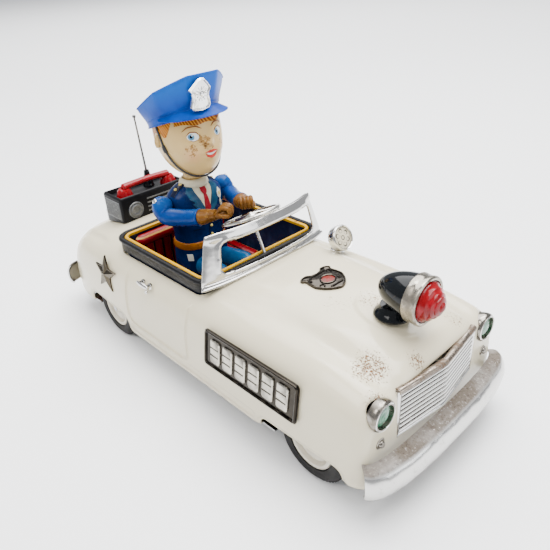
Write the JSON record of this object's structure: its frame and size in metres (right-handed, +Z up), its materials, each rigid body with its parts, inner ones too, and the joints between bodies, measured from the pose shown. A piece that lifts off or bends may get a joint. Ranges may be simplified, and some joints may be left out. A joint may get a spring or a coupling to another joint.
{
  "type": "tin toy police car",
  "caption": "Battery-driven tin toy police convertible with a seated driver, bonnet warning lamp, radio box and free-turning wheels.",
  "frame": {"origin": "on the ground under the middle of the car's outline", "axes": "+X to the front bumper, +Y to the car's left side, +Z up"},
  "size_m": [0.249, 0.0996, 0.142],
  "materials": {
    "body_paint": "glossy cream enamel with light wear and rust specks",
    "tinplate": "dull tinned steel",
    "interior_litho": "dark navy lithographed tin",
    "rim_black": "black moulded rim, soft gloss",
    "trim_yellow": "yellow enamel, worn",
    "seat_red": "red lithographed pleats",
    "dash_grey": "dark grey enamel",
    "chrome_trim": "bright plating with light pitting",
    "chrome_worn": "plating with brown rust on the ledges",
    "lens_green": "green glass",
    "lens_red": "red moulded lens",
    "tail_red": "red plastic",
    "lamp_black": "black gloss",
    "bulb_glass": "clear bulb",
    "badge_metal": "dark tarnished pressed metal",
    "plate_metal": "dark recess with bright raised faces",
    "star_metal": "dark tarnished pressed metal",
    "coat_blue": "navy lithographed coat",
    "trouser_blue": "mid blue enamel",
    "arm_blue": "bright blue enamel",
    "glove_brown": "brown enamel with darker lines",
    "skin": "cream skin enamel, worn",
    "cap_blue": "bright blue vinyl",
    "cap_badge_metal": "bright pressed metal",
    "strap_black": "black strap",
    "radio_black": "black moulded plastic",
    "handset_red": "red moulded plastic",
    "antenna_metal": "dark tarnished rod",
    "motor_steel": "zinc plated can",
    "cell_jacket": "plain red jacket",
    "contact_brass": "spring brass",
    "steel": "plain steel",
    "tyre_black": "black rubber with fine tread",
    "hub_cream": "cream plastic, dusty",
    "gear_brass": "stamped brass"
  },
  "bodies": {
    "car": {"body_shell": "body_paint", "base_plate": "tinplate", "cockpit_tray": "interior_litho", "cockpit_rim": "rim_black", "rim_trim": "trim_yellow", "seat_back": "seat_red", "seat_cushion": "seat_red", "dashboard": "dash_grey", "windshield_frame": "chrome_trim", "grille": "chrome_worn", "front_bumper": "chrome_worn", "rear_bumper": "chrome_worn", "headlight_rims": "chrome_trim", "headlight_lenses": "lens_green", "parking_lamps": "chrome_trim", "tail_lamps": "tail_red", "lamp_housing": "lamp_black", "lamp_ring": "chrome_worn", "lamp_lens": "lens_red", "lamp_bulb": "bulb_glass", "siren_horn": "chrome_trim", "bonnet_badge": "badge_metal", "side_plates": "plate_metal", "star_badges": "star_metal", "door_handles": "chrome_trim", "driver_torso": "coat_blue", "driver_legs": "trouser_blue", "driver_pins": "steel", "radio_box": "radio_black", "radio_handset": "handset_red", "antenna_base": "radio_black", "antenna_rod": "antenna_metal", "motor_can": "motor_steel", "gearbox_plates": "tinplate", "battery_cells": "cell_jacket", "battery_box": "tinplate", "battery_contacts": "contact_brass", "base_screws": "steel"},
    "steering": {"steering_wheel": "chrome_trim", "steering_column": "chrome_trim"},
    "head": {"driver_head": "skin", "driver_cap": "cap_blue", "cap_badge": "cap_badge_metal", "chin_strap": "strap_black"},
    "right_arm_body": {"right_arm": "arm_blue", "right_glove": "glove_brown"},
    "left_arm_body": {"left_arm": "arm_blue", "left_glove": "glove_brown"},
    "rear_wheels": {"rear_axle": "steel", "rear_tyres": "tyre_black", "rear_hubs": "hub_cream", "axle_gear": "gear_brass"},
    "front_wheels": {"front_axle": "steel", "front_tyres": "tyre_black", "front_hubs": "hub_cream"},
    "idler": {"idler_gear": "gear_brass"},
    "motor_rotor": {"motor_pinion": "gear_brass"},
    "battery_hatch": {"battery_door": "tinplate"},
    "switch": {"switch_lever": "steel"}
  },
  "joints": [
    {"name": "steering_turn", "type": "hinge", "parent": "car", "child": "steering", "pos_m": [0.0062, 0, 0.0782], "axis": [-0.4112, 0, 0.9116], "range_deg": [-90, 90]},
    {"name": "head_turn", "type": "hinge", "parent": "car", "child": "head", "pos_m": [-0.038, 0, 0.09], "axis": [0, 0, 1], "range_deg": [-60, 60]},
    {"name": "right_arm_swing", "type": "hinge", "parent": "car", "child": "right_arm_body", "pos_m": [-0.0405, -0.018, 0.08], "axis": [0, -1, 0], "range_deg": [0, 35]},
    {"name": "left_arm_swing", "type": "hinge", "parent": "car", "child": "left_arm_body", "pos_m": [-0.0405, 0.018, 0.08], "axis": [0, -1, 0], "range_deg": [0, 35]},
    {"name": "rear_axle_spin", "type": "hinge", "parent": "car", "child": "rear_wheels", "pos_m": [-0.065, 0, 0.017], "axis": [0, 1, 0], "continuous": true},
    {"name": "front_axle_spin", "type": "hinge", "parent": "car", "child": "front_wheels", "pos_m": [0.085, 0, 0.017], "axis": [0, 1, 0], "continuous": true},
    {"name": "idler_spin", "type": "hinge", "parent": "car", "child": "idler", "pos_m": [-0.07257, 0, 0.02781], "axis": [0, 1, 0], "continuous": true},
    {"name": "motor_spin", "type": "hinge", "parent": "car", "child": "motor_rotor", "pos_m": [-0.08445, 0, 0.02948], "axis": [0, 1, 0], "continuous": true},
    {"name": "battery_door_slide", "type": "slide", "parent": "car", "child": "battery_hatch", "axis": [-1, 0, 0], "range_m": [0, 0.062]},
    {"name": "switch_slide", "type": "slide", "parent": "car", "child": "switch", "axis": [1, 0, 0], "range_m": [-0.004, 0.004]}
  ],
  "couplings": [
    {"joint": "idler_spin", "follows": "rear_axle_spin", "ratio": -3.4},
    {"joint": "motor_spin", "follows": "rear_axle_spin", "ratio": 10.2}
  ]
}
